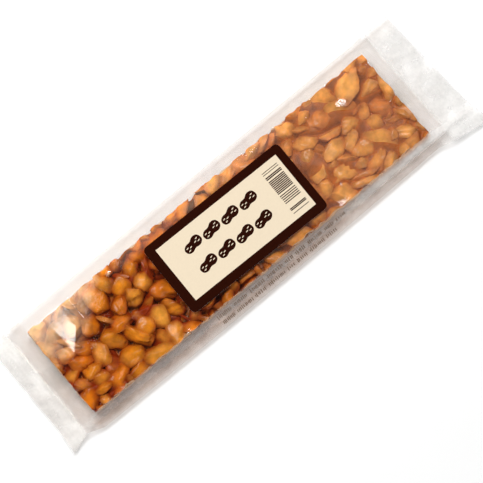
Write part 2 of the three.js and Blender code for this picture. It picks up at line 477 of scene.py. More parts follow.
def settle(kinds, sizes, places, turns):
    """Pushes the nuts apart until they lie beside and on each other between floor and roller."""
    balls, radii, owner = [], [], []
    for number, (kind, size) in enumerate(zip(kinds, sizes)):
        spots, reach = feelers(kind, size)
        balls.extend(spots)
        radii.extend(reach)
        owner.extend([number] * len(reach))
    balls, radii, owner = np.array(balls), np.array(radii), np.array(owner)
    limit = np.array([BAR_END + SLAB_MARGIN, BAR_SIDE + SLAB_MARGIN])
    for step in range(RELAX_STEPS):
        arm = np.einsum("nij,nj->ni", turns[owner], balls)
        at = places[owner] + arm
        if step % NEIGHBOUR_STEPS == 0:
            gap = np.linalg.norm(at[:, None] - at[None], axis=2) - radii[:, None] - radii[None]
            i, j = np.nonzero(np.triu(gap < NEIGHBOUR_GAP, 1) & (owner[:, None] != owner[None]))
        apart = at[j] - at[i]
        distance = np.maximum(np.linalg.norm(apart, axis=1), 1e-6)
        overlap = np.clip(radii[i] + radii[j] - distance, 0, None)
        push = apart * (0.5 * overlap / distance)[:, None]
        force = np.zeros_like(at)
        np.add.at(force, j, push)
        np.add.at(force, i, -push)
        force[:, 2] -= np.clip(at[:, 2] + radii - BAR_TOP, 0, None)
        force[:, 2] += np.clip(BAR_FLOOR - at[:, 2] + radii, 0, None)
        shift = np.zeros_like(places)
        twist = np.zeros_like(places)
        np.add.at(shift, owner, force)
        np.add.at(twist, owner, np.cross(arm, force))
        places = places + np.clip(SHIFT_RATE * shift, -SHIFT_LIMIT, SHIFT_LIMIT)
        places[:, :2] = np.clip(places[:, :2], -limit, limit)
        turning = np.clip(TURN_RATE * twist / (sizes[:, :1] ** 2), -TURN_LIMIT, TURN_LIMIT)
        turns = rotation(turning) @ turns
    return places, turns


def place_nut(kind, size, place, turn, rng):
    """The points of one nut, kept between the floor and the top of the slab."""
    points = nut_shape(kind, size, rng) @ turn.T + place
    points[:, 2] -= max(0, points[:, 2].max() - BAR_TOP)
    points[:, 2] += max(0, BAR_FLOOR - points[:, 2].min())
    points[:, 2] = np.minimum(points[:, 2], BAR_TOP)
    return points


def pour_nuts(rng):
    """The settled nuts by kind: for each kind a list of nuts, each an array of points."""
    kinds, sizes, places, turns = draw_nuts(rng)
    places, turns = settle(kinds, sizes, places, turns)
    nuts = {kind: [] for kind in KINDS}
    for kind, size, place, turn in zip(kinds, sizes, places, turns):
        points = place_nut(kind, size, place, turn, rng)
        inside = (np.abs(points[:, 0]) < BAR_END) & (np.abs(points[:, 1]) < BAR_SIDE)
        if inside.any():
            nuts[kind].append(points)
    return nuts


def fill_gaps(nuts, rng):
    """Presses smaller nuts into the widest holes of the top layer."""
    highest = nut_heights(nuts)[0]
    enough = mix(*GAP_LEVELS, smooth_step(*FULLER, GRID_X))[:, None]
    for number in range(GAP_NUTS):
        hollow = blur(highest, GAP_REACH) - enough
        column, row = np.unravel_index(np.argmin(hollow), hollow.shape)
        if hollow[column, row] > 0:
            break
        kind, shrink = GAP_KINDS[number % len(GAP_KINDS)]
        grown = mix(1, RIGHT_GROWTH, smooth_step(*FULLER, GRID_X[column]))
        size = shrink * grown * draw_size(kind, rng)
        turn = about(2, [rng.uniform(0, FULL_TURN)])[0]
        turn = turn @ rotation(rng.normal(0, GAP_TILT, (1, 3)))[0]
        points = place_nut(kind, size, np.array([GRID_X[column], GRID_Y[row], 0]), turn, rng)
        points[:, 2] += rng.uniform(BAR_TOP - GAP_DROPS[0], BAR_TOP - GAP_DROPS[1]) - points[:, 2].max()
        points[:, 2] = np.maximum(points[:, 2], BAR_FLOOR)
        nuts[kind].append(points)
        highest = np.maximum(highest, nut_heights({kind: [points]})[0])


# Height fields over the bar

GRID_X = np.linspace(-BAR_END, BAR_END, round(BAR_LENGTH / CELL) + 1)
GRID_Y = np.linspace(-BAR_SIDE, BAR_SIDE, round(BAR_WIDTH / CELL) + 1)
EDGE_STEPS = 5


def nut_heights(nuts):
    """Over each place of the bar: the highest and lowest point of any nut, and which nut is on top."""
    shape = (len(GRID_X), len(GRID_Y))
    highest = np.full(shape, BAR_FLOOR).ravel()
    lowest = np.full(shape, BAR_TOP).ravel()
    owner = np.full(shape, -1).ravel()
    steps = EDGE_STEPS
    shares = [[i, j, steps - i - j] for i in range(steps + 1) for j in range(steps + 1 - i)]
    shares = np.array(shares) / steps
    number = 0
    for kind, group in nuts.items():
        for points in group:
            samples = np.einsum("sk,fkc->fsc", shares, points[GLOBES[kind][1]]).reshape(-1, 3)
            column = np.rint((samples[:, 0] - GRID_X[0]) / CELL).astype(int)
            row = np.rint((samples[:, 1] - GRID_Y[0]) / (GRID_Y[1] - GRID_Y[0])).astype(int)
            kept = (column >= 0) & (column < shape[0]) & (row >= 0) & (row < shape[1])
            place = column[kept] * shape[1] + row[kept]
            height = samples[kept, 2]
            np.minimum.at(lowest, place, height)
            before = highest[place]
            np.maximum.at(highest, place, height)
            owner[place[highest[place] > before]] = number
            number += 1
    return highest.reshape(shape), lowest.reshape(shape), owner.reshape(shape)


def nut_seam_glaze_and_shade(owner):
    """Caramel glaze and painted shade where one nut meets the next, seen from above: 1 at the seam, fading
    over about a millimetre.
    """
    edge = np.zeros(owner.shape)
    edge[:-1] = owner[:-1] != owner[1:]
    edge[:, :-1] = np.maximum(edge[:, :-1], owner[:, :-1] != owner[:, 1:])
    return np.clip(blur(edge, SEAM_GLAZE_AND_SHADE_REACH) * SEAM_GLAZE_AND_SHADE_STRENGTH, 0, 1)


def blur(field, reach):
    """A soft average over about that many millimetres."""
    cells = reach / CELL
    span = math.ceil(3 * cells)
    weights = np.exp(-0.5 * (np.arange(-span, span + 1) / cells) ** 2)
    weights /= weights.sum()
    for axis in (0, 1):
        padded = np.pad(field, [(span, span) if axis == k else (0, 0) for k in (0, 1)], mode="edge")
        count = field.shape[axis]
        parts = [w * np.take(padded, range(k, k + count), axis) for k, w in enumerate(weights)]
        field = np.sum(parts, axis=0)
    return field


def widen(field, reach):
    """The highest value within that many millimetres."""
    span = round(reach / CELL)
    padded = np.pad(field, span, mode="edge")
    rows, columns = field.shape
    result = field
    for i in range(-span, span + 1):
        for j in range(-span, span + 1):
            if i * i + j * j <= span * span:
                moved = padded[span + i:span + i + rows, span + j:span + j + columns]
                result = np.maximum(result, moved)
    return result


def sample(field, x, y):
    """A height field read between its places."""
    u = np.clip((x - GRID_X[0]) / (GRID_X[1] - GRID_X[0]), 0, len(GRID_X) - 1.001)
    v = np.clip((y - GRID_Y[0]) / (GRID_Y[1] - GRID_Y[0]), 0, len(GRID_Y) - 1.001)
    i, j = u.astype(int), v.astype(int)
    s, t = u - i, v - j
    near = mix(field[i, j], field[i + 1, j], s)
    far = mix(field[i, j + 1], field[i + 1, j + 1], s)
    return mix(near, far, t)


def caramel_level(highest, rng):
    """The top of the caramel: fillets that climb the nuts, and pools in the wider gaps."""
    x, y = GRID_X[:, None], GRID_Y[None, :]
    fuller = smooth_step(*FULLER, x)
    pool = mix(*POOL_LEVELS, fuller) + POOL_SWELL * ripple(x, y, POOL_WAVELENGTH, rng)
    fillet = blur(highest, FILLET_BLUR) - mix(*FILLET_DROPS, fuller)
    both = np.logaddexp(fillet * 2, pool * 2) / 2
    return np.minimum(both, BAR_TOP - CARAMEL_DROP)


# Materials

FILM_CLEAR = (0.998, 0.996, 0.993)
# Painted shade: the colour the film dims what shows through it towards, standing for the bar's shadow and
# darker folds.
FILM_PAINTED_SHADE = (0.785, 0.71, 0.665)
FILM_GLOSS = 0.07
SEAM_GLOSS = 0.01


def new_material(name):
    material = bpy.data.materials.new(name)
    material.use_nodes = True
    tree = material.node_tree
    return material, tree, tree.nodes["Principled BSDF"]


def feed(tree, node, inputs):
    """Sets a node's inputs by name or number: a socket is linked, anything else is set as the value."""
    for name, value in inputs.items():
        if isinstance(value, bpy.types.NodeSocket):
            tree.links.new(value, node.inputs[name])
        else:
            node.inputs[name].default_value = value


def add_node(tree, kind, output, inputs, **settings):
    """A new node with its settings and inputs, given as one of its outputs."""
    node = tree.nodes.new(kind)
    for name, value in settings.items():
        setattr(node, name, value)
    feed(tree, node, inputs)
    return node.outputs[output]


def add_noise(tree, scale, detail=4.0, roughness=0.6):
    """Noise in the piece's own coordinates, with a pattern about one millimetre over scale."""
    place = add_node(tree, "ShaderNodeTexCoord", "Object", {})
    inputs = {"Vector": place, "Scale": scale / MM, "Detail": detail, "Roughness": roughness}
    return add_node(tree, "ShaderNodeTexNoise", "Fac", inputs)


def add_range(tree, value, low, high, start=0.3, end=0.7):
    """A value between start and end, moved to lie between low and high."""
    inputs = {"Value": value, "From Min": start, "From Max": end, "To Min": low, "To Max": high}
    return add_node(tree, "ShaderNodeMapRange", "Result", inputs)


def add_ramp(tree, value, dark, light, start=0.0, end=1.0):
    """A colour between a dark one and a light one, for a value between start and end."""
    ramp = tree.nodes.new("ShaderNodeValToRGB")
    for stop, place, colour in zip(ramp.color_ramp.elements, (start, end), (dark, light)):
        stop.position = place
        stop.color = (*colour, 1)
    feed(tree, ramp, {"Fac": value})
    return ramp.outputs["Color"]


def add_bump(tree, height, depth):
    """A bump of that many millimetres."""
    inputs = {"Strength": 1, "Distance": depth * MM, "Height": height}
    return add_node(tree, "ShaderNodeBump", "Normal", inputs)


def from_mesh(tree, name, output):
    """A number or colour that the mesh has at each point."""
    return add_node(tree, "ShaderNodeAttribute", output, {}, attribute_name=name)


def tinted(tree, name, value, amount):
    """The mesh's colour, lightened and darkened by a value from 0 to 1."""
    lightness = add_range(tree, value, 1 - amount, 1 + amount)
    inputs = {"Color": from_mesh(tree, name, "Color"), "Value": lightness}
    return add_node(tree, "ShaderNodeHueSaturation", "Color", inputs)


def patchy(tree, name, patches):
    """A number from the mesh, made uneven by patches."""
    inputs = {0: from_mesh(tree, name, "Fac"), 1: patches}
    return add_node(tree, "ShaderNodeMath", "Value", inputs, operation="MULTIPLY", use_clamp=True)


def nut_material():
    material, tree, shader = new_material("glazed_nut")
    blotches = add_noise(tree, 0.28, 2, 0.5)
    glossy = add_range(tree, add_noise(tree, 0.12, 2), 0.03, 0.66, 0.38, 0.62)
    feed(tree, shader, {
        "Base Color": tinted(tree, "tint", blotches, 0.24),
        "Roughness": add_range(tree, blotches, 0.2, 0.4),
        "Normal": add_bump(tree, add_noise(tree, 0.5, 3, 0.5), 0.3),
        "Specular IOR Level": 0.05,
        "Coat Weight": patchy(tree, "sheen", glossy),
        "Coat Roughness": 0.27,
        "Subsurface Weight": 0.1,
        "Subsurface Radius": (1.0, 0.35, 0.08),
        "Subsurface Scale": 1.0 * MM,
    })
    return material


def cut_nut_material():
    material, tree, shader = new_material("cut_nut")
    grain = add_noise(tree, 1.3, 6)
    feed(tree, shader, {
        "Base Color": add_ramp(tree, grain, (0.62, 0.34, 0.15), (0.86, 0.575, 0.32), 0.3, 0.7),
        "Roughness": add_range(tree, grain, 0.4, 0.65),
        "Normal": add_bump(tree, grain, 0.15),
    })
    return material


def caramel_material():
    material, tree, shader = new_material("caramel")
    swirl = add_noise(tree, 0.3, 5)
    feed(tree, shader, {
        "Base Color": tinted(tree, "tint", swirl, 0.3),
        "Roughness": add_range(tree, swirl, 0.2, 0.4),
        "Normal": add_bump(tree, add_noise(tree, 0.7, 4), 0.18),
        "Specular IOR Level": 0.06,
        "Coat Weight": 0.05,
        "Coat Roughness": 0.1,
    })
    return material


def film_material(name, mirror):
    """Clear film: it mirrors a little and lets the rest through. A milky layer, partly the film's own
    milkiness and partly painted light, mixes in, and painted shade dims what shows through it.
    """
    material, tree, shader = new_material(name)
    tree.nodes.remove(shader)
    crinkle = add_bump(tree, add_noise(tree, 0.25, 3), 0.06)
    patches = add_range(tree, add_noise(tree, 0.2, 4), 0.6, 1.4)
    facing = add_node(tree, "ShaderNodeLayerWeight", "Facing", {"Blend": 0.5, "Normal": crinkle})
    steep = add_node(tree, "ShaderNodeMath", "Value", {0: facing, 1: 5}, operation="POWER")
    # Painted shade: the film dims what shows through it.
    painted_shade = {"A": (*FILM_CLEAR, 1), "B": (*FILM_PAINTED_SHADE, 1), "Factor": patchy(tree, "shade", patches)}
    colour = add_node(tree, "ShaderNodeMix", "Result", painted_shade, data_type="RGBA")
    clear = add_node(tree, "ShaderNodeBsdfTransparent", "BSDF", {"Color": colour})
    shiny = {"Roughness": from_mesh(tree, "rough", "Fac"), "Normal": crinkle}
    gloss = add_node(tree, "ShaderNodeBsdfGlossy", "BSDF", shiny)
    mirrored = add_range(tree, steep, mirror, 1, 0, 1)
    glazed = add_node(tree, "ShaderNodeMixShader", "Shader", {0: mirrored, 1: clear, 2: gloss})
    # The milky layer's colour from the mesh holds painted bounce light and painted peach light.
    haze_and_painted_light = add_node(tree, "ShaderNodeBsdfDiffuse", "BSDF", {"Color": from_mesh(tree, "haze_and_painted_light", "Color")})
    # The milky share from the mesh is partly painted reflection, painted light and painted highlights.
    milky = {0: patchy(tree, "frost_and_painted_light", patches), 1: glazed, 2: haze_and_painted_light}
    film = add_node(tree, "ShaderNodeMixShader", "Shader", milky)
    feed(tree, tree.nodes["Material Output"], {"Surface": film})
    return material


def paper_material(name, colour, spread, roughness):
    """Printed paper: fine fibres show in its colour, its gloss and its relief."""
    material, tree, shader = new_material(name)
    fibres = add_noise(tree, 1.1, 6, 0.7)
    dark = [c * (1 - spread) for c in colour]
    light = [c * (1 + spread) for c in colour]
    feed(tree, shader, {
        "Base Color": add_ramp(tree, fibres, dark, light, 0.25, 0.75),
        "Roughness": add_range(tree, fibres, roughness - 0.08, roughness + 0.08),
        "Normal": add_bump(tree, fibres, 0.02),
        "Specular IOR Level": 0.01,
    })
    return material


# Brittle

NUT_TINTS = np.array([
    (0.76, 0.25, 0.01),
    (0.74, 0.226, 0.007),
    (0.71, 0.195, 0.004),
    (0.77, 0.285, 0.026),
    (0.69, 0.175, 0.003),
])
ROAST_SPREAD = (0.88, 1.13)
NUT_RIGHT = np.array((0.765, 0.343, 0.08))
RIGHT_SPREAD = (0.82, 1.1)
RIGHT_SHARE = 0.7
COVERED_NUTS = 0.3
COVERED = (0.4, 0.95)
NUT_COVERED = np.array((0.54, 0.172, 0.043))
SPLIT_FACE = np.array((0.86, 0.36, 0.045))
SPLIT_SHARES = {"half": 0.75, "flake": 0.8}
SPLIT_SHEEN = 0.25
# Caramel glaze and painted shade: the colours that nuts darken to down their sides and where nuts meet, and
# how much.
NUT_GLAZE_AND_SHADE_LEFT = np.array((0.25, 0.024, 0.0005))
NUT_GLAZE_AND_SHADE_RIGHT = np.array((0.42, 0.107, 0.02))
GLAZE_AND_SHADE_SHARES = (1.0, 0.85)
# Painted light: how much lighter the nuts are painted along the bar's back edge, and where that starts and
# ends.
PAINTED_BACK_LIGHT = 0.36
PAINTED_BACK_LIGHT_STRIP = (15, 22)
# Caramel glaze and painted shade: the depths below the crowns over which it comes in, and how far and how
# strongly it spreads from where nuts meet.
SUNK_GLAZE_AND_SHADE = (0.6, 4.4)
CROWN_REACH = 2.0
SEAM_GLAZE_AND_SHADE_REACH = 1.3
SEAM_GLAZE_AND_SHADE_STRENGTH = 3.2
# Painted reflection: the back left corner, where nuts and caramel are painted paler and warmer, and those
# colours.
REFLECTION_LINE = ((-79, 0), (-52, 22.8))
REFLECTION_FADES = (6, 7)
NUT_PAINTED_REFLECTION = np.array((0.87, 0.455, 0.155))
NUT_REFLECTION_SHARE = 0.8
CARAMEL_PAINTED_REFLECTION = np.array((0.5, 0.16, 0.034))
CARAMEL_THIN = np.array((0.42, 0.1, 0.005))
CARAMEL_DEEP_LEFT = np.array((0.075, 0.009, 0.001))
CARAMEL_DEEP_RIGHT = np.array((0.21, 0.045, 0.004))


def painted_reflection_share(x, y):
    """How far a place lies inside the back left corner of the bar, where a paler, warmer reflection of the
    film is painted into the colours.
    """
    start, end = REFLECTION_LINE
    run, rise = end[0] - start[0], end[1] - start[1]
    inside = ((y - start[1]) * run - (x - start[0]) * rise) / math.hypot(run, rise)
    return smooth_step(0, REFLECTION_FADES[0], inside) * smooth_step(0, REFLECTION_FADES[1], y)


def cut_to_bar(mesh):
    """Cuts a mesh of many nuts at the bar's four sides and closes the cuts with the second material."""
    shape = bmesh.new()
    shape.from_mesh(mesh)
    for axis, half in ((0, BAR_END), (1, BAR_SIDE)):
        for side in (-1, 1):
            normal = Vector((0, 0, 0))
            normal[axis] = side
            at = BAR_MIDDLE + normal * (half + CUT_SPARE) * MM
            everything = shape.verts[:] + shape.edges[:] + shape.faces[:]
            bmesh.ops.bisect_plane(
                shape, geom=everything, dist=1e-7, plane_co=at, plane_no=normal, clear_outer=True)
            rims = [edge for edge in shape.edges if edge.is_boundary]
            caps = bmesh.ops.holes_fill(shape, edges=rims, sides=0)["faces"]
            for cap in caps:
                cap.material_index = 1
                cap.smooth = False
    bmesh.ops.triangulate(shape, faces=[face for face in shape.faces if len(face.verts) > 4])
    shape.to_mesh(mesh)
    shape.free()
    mesh.set_sharp_from_angle(angle=SHARP_NUT)


def uneven_sides(mesh):
    """Draws the four cut sides in by a little here and there, as a cut through nuts comes out."""
    rng = np.random.default_rng(SEED)
    points = np.empty(3 * len(mesh.vertices))
    mesh.vertices.foreach_get("co", points)
    points = (points.reshape(-1, 3) - np.array(BAR_MIDDLE)) / MM
    for axis, half in ((0, BAR_END), (1, BAR_SIDE)):
        along = points[:, 1 - axis] + np.sign(points[:, axis]) * 2 * BAR_LENGTH
        pull = CUT_UNEVEN * np.clip(1 + ripple(along, 1.5 * points[:, 2], CUT_WAVELENGTH, rng), 0, None)
        near = smooth_step(half - CUT_REACH, half, np.abs(points[:, axis]))
        points[:, axis] -= np.sign(points[:, axis]) * pull * near
    mesh.vertices.foreach_set("co", part_frame(points).astype(np.float32).ravel())
    mesh.update()


def nut_piece(kind, group, crowns, seam_glaze_and_shade, materials, rng):
    """One kind of nut as one piece, each nut with its own roast. Caramel glaze and painted shade darken it
    down its sides and where nuts meet, painted light makes it lighter along the back, and a painted
    reflection makes it paler over the back left corner.
    """
    directions, triangles = GLOBES[kind]
    group = np.array(group)
    count, size = group.shape[:2]
    points = group.reshape(-1, 3)
    faces = (triangles[None] + size * np.arange(count)[:, None, None]).reshape(-1, 3)
    roast = NUT_TINTS[rng.integers(len(NUT_TINTS), size=count)] * rng.uniform(*ROAST_SPREAD, (count, 1))
    roast = np.repeat(roast[:, None], size, axis=1)
    sheen = np.ones((count, size))
    if kind == "half":
        split = directions[:, 2] < SPLIT_BELOW
        roast[:, split] = mix(roast[:, split], SPLIT_FACE, SPLIT_SHARES[kind])
        sheen[:, split] = SPLIT_SHEEN
    if kind == "flake":
        roast = mix(roast, SPLIT_FACE, SPLIT_SHARES[kind])
    # Caramel glaze and painted shade: darker below the crowns and where nuts meet.
    sunk_glaze_and_shade = smooth_step(*SUNK_GLAZE_AND_SHADE, sample(crowns, points[:, 0], points[:, 1]) - points[:, 2])
    glazed = np.maximum(sunk_glaze_and_shade, sample(seam_glaze_and_shade, points[:, 0], points[:, 1]))[:, None]
    fuller = smooth_step(*FULLER, points[:, :1])
    paler = NUT_RIGHT * rng.uniform(*RIGHT_SPREAD, (count, 1, 1))
    covered = rng.uniform(*COVERED, (count, 1, 1))
    covered = covered * (rng.random((count, 1, 1)) < COVERED_NUTS)
    paler = mix(paler, NUT_COVERED, covered)
    roast = mix(roast, paler, RIGHT_SHARE * fuller.reshape(count, size, 1))
    # Painted reflection: paler over the back left corner.
    painted_reflection = painted_reflection_share(points[:, :1], points[:, 1:2])
    roast = mix(roast.reshape(-1, 3), NUT_PAINTED_REFLECTION, NUT_REFLECTION_SHARE * painted_reflection)
    glaze_and_shade_colour = mix(mix(NUT_GLAZE_AND_SHADE_LEFT, NUT_GLAZE_AND_SHADE_RIGHT, fuller), CARAMEL_PAINTED_REFLECTION, painted_reflection)
    tint = mix(roast, glaze_and_shade_colour, glazed * mix(*GLAZE_AND_SHADE_SHARES, fuller))
    # Painted light: nuts lighter towards the back edge.
    tint = tint * (1 + PAINTED_BACK_LIGHT * smooth_step(*PAINTED_BACK_LIGHT_STRIP, points[:, 1:2]))
    piece = make_piece(f"{kind}_nuts", points, faces, materials)
    add_colour(piece, "tint", np.clip(tint, 0, 1))
    add_value(piece, "sheen", sheen.ravel())
    cut_to_bar(piece.data)
    uneven_sides(piece.data)
    return piece


def caramel_piece(level, highest, lowest, material):
    """The set caramel as a closed slab, paler where it is thin over a nut."""
    rows, columns = len(GRID_X), len(GRID_Y)
    shrink = 1 - 2 * CARAMEL_INSET / np.array([BAR_LENGTH, BAR_WIDTH])
    x = np.repeat(GRID_X[:, None], columns, 1) * shrink[0]
    y = np.repeat(GRID_Y[None, :], rows, 0) * shrink[1]
    under = np.minimum(blur(np.minimum(lowest, UNDER_REACH), UNDER_BLUR) + UNDER_RISE, UNDER_LIMIT)
    points = np.vstack([np.stack([x, y, z], -1).reshape(-1, 3) for z in (level, under)])
    piece = make_piece("caramel", points, np.vstack(slab_faces(rows, columns)), [material])
    depth = np.concatenate([(level - highest).ravel(), (lowest - under).ravel()])
    thick = 1 - np.exp(-np.clip(depth, 0, None) / CARAMEL_CLEAR)[:, None]
    fuller = smooth_step(*FULLER, np.tile(x.ravel(), 2))[:, None]
    deep = mix(CARAMEL_DEEP_LEFT, CARAMEL_DEEP_RIGHT, fuller)
    # Painted reflection: the caramel paler over the back left corner.
    deep = mix(deep, CARAMEL_PAINTED_REFLECTION, painted_reflection_share(points[:, :1], points[:, 1:2]))
    add_colour(piece, "tint", mix(CARAMEL_THIN, deep, thick))
    uneven_sides(piece.data)
    piece.data.set_sharp_from_angle(angle=SHARP_CARAMEL)
    return piece


# Film

FRONT_LINES = 30
BAR_COLUMNS = 72
BACK_LINES = 20
BODY_ROWS = 240
TENT_ROWS = 18
ROWS_PER_RIB = 8
SEAM_COLUMNS = 9
SEAM_ROWS_PER_RIB = 3
SEAM_TEETH = 0.02
SEAM_THICKNESS = 0.07
SEAM_FROST = 0.01
FILM_GLUE = 0.03
ROUGH_BAG = 0.06
ROUGH_SEAL = 0.24
ROUGH_BASE = 0.3
HAZE = np.array((0.96, 0.94, 0.92))
# Painted light in the milky film's colour: a brown bounce light from the bar beside its front side, and a
# paler peach light over the back left corner and along the back.
HAZE_PAINTED_BOUNCE = np.array((0.85, 0.52, 0.34))
HAZE_PAINTED_PEACH_LIGHT = np.array((0.93, 0.86, 0.67))

# How milky the film is, and how dim, at its parts. It is milky of itself on its margins and seals; the milky
# patches over the bar, beside its front side and at the glints are painted reflection, painted light and
# painted highlights, and the dimness is painted shade.
FROST_LEAST = 0.0005
# Painted reflection: milky over the right half and the back left corner.
PAINTED_REFLECTION_RIGHT = 0.012
PAINTED_REFLECTION_CORNER = (0.05, 0.2)
# Painted light: a milky strip that lightens the nuts along the back edge.
PAINTED_LIGHT_BACK_STRIP = 0.085
FROST_MARGIN = 0.04
# Painted light: a milky strip on the front margin beside the bar, lightening the bar's shadow and standing
# for the film's reflection there.
PAINTED_LIGHT_FRONT = (0.17, 0.3, 0.5)
FROST_ENDS = (0.05, 0.3)
# Painted highlights: a white milky patch on the lit side of each glint crease, with its offset and width.
PAINTED_GLINT = 0.5
GLINT_SIDE = 0.7
GLINT_WIDTH = 0.6
SHADE_CREASE = 0.62
SHADE_LINES = (0.12, 0.26)
SHADE_BACK = (0.06, 0.1)
SHADE_LEFT = (0.36, 0.24)
SHADE_RIGHT = 0.09
SHADE_STRIP = 0.8
BACK_LINE = 27.2
BACK_LINE_WIDTH = 0.6

# Two rows of fine print on the front margin.
PRINT_ROWS = (-25.7, -28.5)
PRINT_SPANS = ((-28, 46), (-27, 32))
TICK_STEPS = (0.6, 1.2)
TICK_WIDTH = 0.4
TICK_HEIGHTS = (0.8, 1.8)
WORD_LENGTHS = (3.0, 9.0)
WORD_GAPS = (1.1, 2.0)
INK_LIFT = 0.05


def label_frame(x, y):
    """Places on the bar as places on the label."""
    return turned(x - LABEL_OFFSET[0], y - LABEL_OFFSET[1], -LABEL_TURN)


def label_height(x, y):
    """The underside of the label, which sags a little between the nuts that it bridges."""
    u, v = label_frame(x, y)
    short_u, short_v, long_u, long_v = SAG_LENGTHS
    sag = LABEL_SAG * np.sin(u / short_u + SAG_PHASE) * np.cos(v / short_v)
    sag = sag + LABEL_SAG * np.cos(u / long_u - v / long_v)
    curl = LABEL_CURL * (np.abs(u) / (LABEL_LENGTH / 2)) ** CURL_POWERS[0]
    curl = curl * (np.abs(v) / (LABEL_WIDTH / 2)) ** CURL_POWERS[1]
    return LABEL_BASE + LABEL_LIFT + sag + curl


def ridge(x, y, middle, heading, length, width, height):
    """A crease in the film: a soft ridge that fades towards its ends."""
    along, across = turned(x - middle[0], y - middle[1], -heading)
    fade = np.exp(-(np.abs(along) / length) ** 3)
    return height * fade * np.exp(-((across / width) ** 2))


def kite_fold(x, y):
    """A fold near the left end: a flat that leans towards the end, wide at the back. Height and share."""
    share = np.clip((y - KITE_FRONT) / (KITE_BEND - KITE_FRONT), 0, 1)
    crest = mix(KITE_LEFT + KITE_TIP, KITE_RIGHT, share)
    run = KITE_SOFT * np.logaddexp(0, (x - KITE_LEFT) / KITE_SOFT)
    run = run - KITE_SOFT * np.logaddexp(0, (x - crest) / KITE_SOFT)
    rise = math.tan(KITE_SLOPE) * run
    fall = 1 - smooth_step(0, KITE_FALL, x - crest)
    front = smooth_step(KITE_FRONT - KITE_FADE, KITE_FRONT + 0.5, y)
    left = smooth_step(KITE_LEFT - KITE_FADE, KITE_LEFT, x)
    uneven = KITE_UNEVEN * ripple(x, y, KITE_WAVELENGTH, np.random.default_rng(SEED))
    return BAR_TOP + FILM_GAP + rise * fall + uneven, front * left * fall


def film_over_bar(highest, rng):
    """The height of the upper film over the bar: it rests on the nuts and has a few wrinkles."""
    x, y = GRID_X[:, None], GRID_Y[None, :]
    rest = blur(widen(highest, DRAPE_REACH), DRAPE_BLUR) + FILM_GAP
    u, v = label_frame(x, y)
    outside = np.maximum(np.abs(u) - LABEL_LENGTH / 2, np.abs(v) - LABEL_WIDTH / 2)
    under_label = 1 - smooth_step(*LABEL_PULL, outside)
    wrinkles = WRINKLE_HEIGHT * (1 + ripple(x, y, WRINKLE_LENGTH, rng))
    for crease in GLINTS:
        wrinkles = wrinkles + ridge(x, y, *crease)
    for _ in range(LOOSE_CREASES):
        middle = [rng.uniform(-reach, reach) for reach in LOOSE_SPAN]
        heading = rng.uniform(0, math.pi)
        length, width, height = [rng.uniform(*span) for span in (LOOSE_LENGTHS, LOOSE_WIDTHS, LOOSE_HEIGHTS)]
        wrinkles = wrinkles + ridge(x, y, middle, heading, length, width, height)
    film = mix(rest + wrinkles, label_height(x, y) - LABEL_GLUE, under_label)
    return mix(film, *kite_fold(x, y))


def film_edge(x, margin, bow):
    """How far the film's long edge is from the middle, a little more halfway along the bar."""
    return BAR_SIDE + margin + bow * (1 - (2 * x / BAR_LENGTH) ** 2)


def slope_height(share, shoulder):
    """The upper film beside the bar, from its shoulder at share 0 down to the crease at share 1."""
    return mix(shoulder, CREASE_HEIGHT + FILM_HALF, share) + 4 * SLOPE_BULGE * share * (1 - share)


def base_height(share):
    """The lower film beside the bar, from the floor up to the crease."""
    return mix(BASE_FILM, CREASE_HEIGHT - FILM_HALF, share ** 2)


def body_block(x, drape):
    """The bag round the bar at places along it: x, y, upper and lower height for each line across."""
    x = x[:, None]
    front_share = np.linspace(1, 0, FRONT_LINES, endpoint=False)[None, :] + 0 * x
    back_share = np.linspace(0, 1, BACK_LINES + 1)[None, 1:] + 0 * x
    bar_y = np.linspace(-BAR_SIDE, BAR_SIDE, BAR_COLUMNS + 1)[None, :] + 0 * x
    on_bar = sample(drape, x + 0 * bar_y, bar_y)
    front = slope_height(front_share, on_bar[:, :1])
    back = slope_height(back_share, on_bar[:, -1:])
    front_y = mix(-BAR_SIDE, -film_edge(x, FRONT_MARGIN, FRONT_BOW), front_share)
    back_y = mix(BAR_SIDE, film_edge(x, BACK_MARGIN, BACK_BOW), back_share)
    y = np.hstack([front_y, bar_y, back_y])
    upper = np.hstack([front, on_bar, back])
    for crease in MARGIN_CREASES:
        upper = upper + ridge(x, y, *crease)
    lower = np.hstack([base_height(front_share), BASE_FILM + 0 * bar_y, base_height(back_share)])
    return np.stack([x + 0 * y, y, upper, lower], -1)


def seal_block(seal, along, share):
    """A pressed seal from its root, along = 0, to its cut edge, along = 1."""
    along, across = along[:, None], share[None, :]
    flare = SEAL_FLARES[0] * along ** 2 - SEAL_FLARES[1] * (1 - along) ** 2
    y = mix(-BAR_SIDE - seal["front"] - flare, BAR_SIDE + seal["back"], across)
    ear = seal["ear"] * np.clip(1 - across / EAR_SHARE, 0, 1)
    reach = seal["length"] + seal["slant"] * (1 - across) + ear
    x = seal["side"] * (BAR_END + seal["tent"] + along * reach)
    rib = np.cos(FULL_TURN * along * seal["length"] / RIB_PITCH)
    rib = RIB_HEIGHT * smooth_step(0, RIB_START, along) * rib
    wave = seal["wave"] * along * np.sin(FULL_TURN * WAVES_ACROSS * across)
    crumple = seal["crumple"] * ripple(x, y, CRUMPLE_LENGTH, np.random.default_rng(SEED))
    crumple = crumple * smooth_step(0, CRUMPLE_START, along)
    middle = SEAL_HEIGHT - seal["droop"] * along + wave + rib + crumple
    return np.stack([x + 0 * y, y, middle + FILM_HALF + 0 * y, middle - FILM_HALF + 0 * y], -1)


